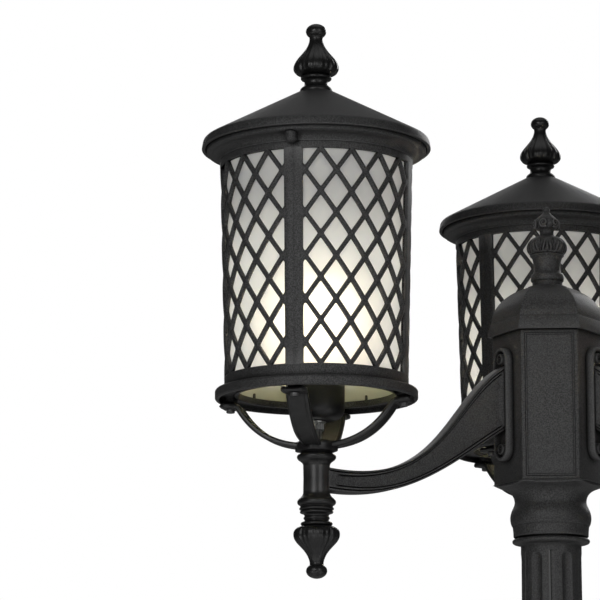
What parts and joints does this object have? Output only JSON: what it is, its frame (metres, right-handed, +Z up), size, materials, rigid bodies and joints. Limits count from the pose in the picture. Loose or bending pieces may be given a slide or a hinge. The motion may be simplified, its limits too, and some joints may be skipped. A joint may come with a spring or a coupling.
{
  "type": "street lamp post",
  "caption": "Black cast garden lamp post with curved arms, each carrying a cylindrical lattice lantern with a conical lift-off roof and frosted diffuser.",
  "frame": {"origin": "on the ground at the centre of the base plate's anchor circle, on the post's axis", "axes": "+Z up along the post; the access door and the plain front face of the hub look along -Y; the rear arm points along +Y, and the left and right arms point 120 degrees either side of it"},
  "size_m": [0.6942, 0.632, 2.25],
  "materials": {
    "powder_coat": "fine-textured satin powder coat",
    "smooth_black": "semi-gloss enamel over smooth castings",
    "frosted_diffuser": "acid-frosted opal",
    "opal_bulb": "opal glass with a metal screw cap",
    "holder_black": "semi-matt",
    "zinc_steel": "zinc plated",
    "black_fastener": "blackened steel",
    "insulator": "moulded",
    "cable_sheath": "extruded sheath"
  },
  "bodies": {
    "post": {"crown_left": "powder_coat", "cage_left": "powder_coat", "diffuser_left": "frosted_diffuser", "lampholder_left": "holder_black", "base_ring_left": "powder_coat", "spider_left": "powder_coat", "upper_collar_left": "smooth_black", "lower_collar_left": "smooth_black", "drop_finial_left": "smooth_black", "arm_left": "powder_coat", "crown_right": "powder_coat", "cage_right": "powder_coat", "diffuser_right": "frosted_diffuser", "lampholder_right": "holder_black", "base_ring_right": "powder_coat", "spider_right": "powder_coat", "upper_collar_right": "smooth_black", "lower_collar_right": "smooth_black", "drop_finial_right": "smooth_black", "arm_right": "powder_coat", "crown_rear": "powder_coat", "cage_rear": "powder_coat", "diffuser_rear": "frosted_diffuser", "lampholder_rear": "holder_black", "base_ring_rear": "powder_coat", "spider_rear": "powder_coat", "upper_collar_rear": "smooth_black", "lower_collar_rear": "smooth_black", "drop_finial_rear": "smooth_black", "arm_rear": "powder_coat", "stem_tubes": "zinc_steel", "roof_screws": "black_fastener", "bracket_screws": "black_fastener", "arm_screws": "black_fastener", "set_screws": "black_fastener", "wiring": "cable_sheath", "hub_body": "powder_coat", "hub_terminal": "insulator", "capital": "powder_coat", "shaft": "powder_coat", "shaft_socket": "powder_coat", "socket_bolts": "black_fastener", "pedestal_cap": "powder_coat", "pedestal": "powder_coat", "base_plate": "powder_coat", "door_pin": "zinc_steel", "fuse_block": "insulator"},
    "roof_left": {"roof_left": "powder_coat", "finial_left": "smooth_black"},
    "bulb_left": {"bulb_left": "opal_bulb"},
    "roof_right": {"roof_right": "powder_coat", "finial_right": "smooth_black"},
    "bulb_right": {"bulb_right": "opal_bulb"},
    "roof_rear": {"roof_rear": "powder_coat", "finial_rear": "smooth_black"},
    "bulb_rear": {"bulb_rear": "opal_bulb"},
    "hub_cap": {"hub_dome": "powder_coat", "hub_finial": "powder_coat"},
    "door": {"access_door": "powder_coat"},
    "lock": {"door_lock": "zinc_steel"}
  },
  "joints": [
    {"name": "roof_lift_left", "type": "slide", "parent": "post", "child": "roof_left", "axis": [0, 0, 1], "range_m": [0, 0.15]},
    {"name": "bulb_unscrew_left", "type": "slide", "parent": "post", "child": "bulb_left", "axis": [0, 0, 1], "range_m": [0, 0.025]},
    {"name": "roof_lift_right", "type": "slide", "parent": "post", "child": "roof_right", "axis": [0, 0, 1], "range_m": [0, 0.15]},
    {"name": "bulb_unscrew_right", "type": "slide", "parent": "post", "child": "bulb_right", "axis": [0, 0, 1], "range_m": [0, 0.025]},
    {"name": "roof_lift_rear", "type": "slide", "parent": "post", "child": "roof_rear", "axis": [0, 0, 1], "range_m": [0, 0.15]},
    {"name": "bulb_unscrew_rear", "type": "slide", "parent": "post", "child": "bulb_rear", "axis": [0, 0, 1], "range_m": [0, 0.025]},
    {"name": "hub_cap_lift", "type": "slide", "parent": "post", "child": "hub_cap", "axis": [0, 0, 1], "range_m": [0, 0.31]},
    {"name": "door_swing", "type": "hinge", "parent": "post", "child": "door", "pos_m": [-0.037, -0.08764, 0.235], "axis": [0, 0, -1], "range_deg": [0, 110]},
    {"name": "lock_turn", "type": "hinge", "parent": "door", "child": "lock", "pos_m": [0.024, -0.08314, 0.235], "axis": [0, -1, 0], "range_deg": [0, 90]}
  ]
}
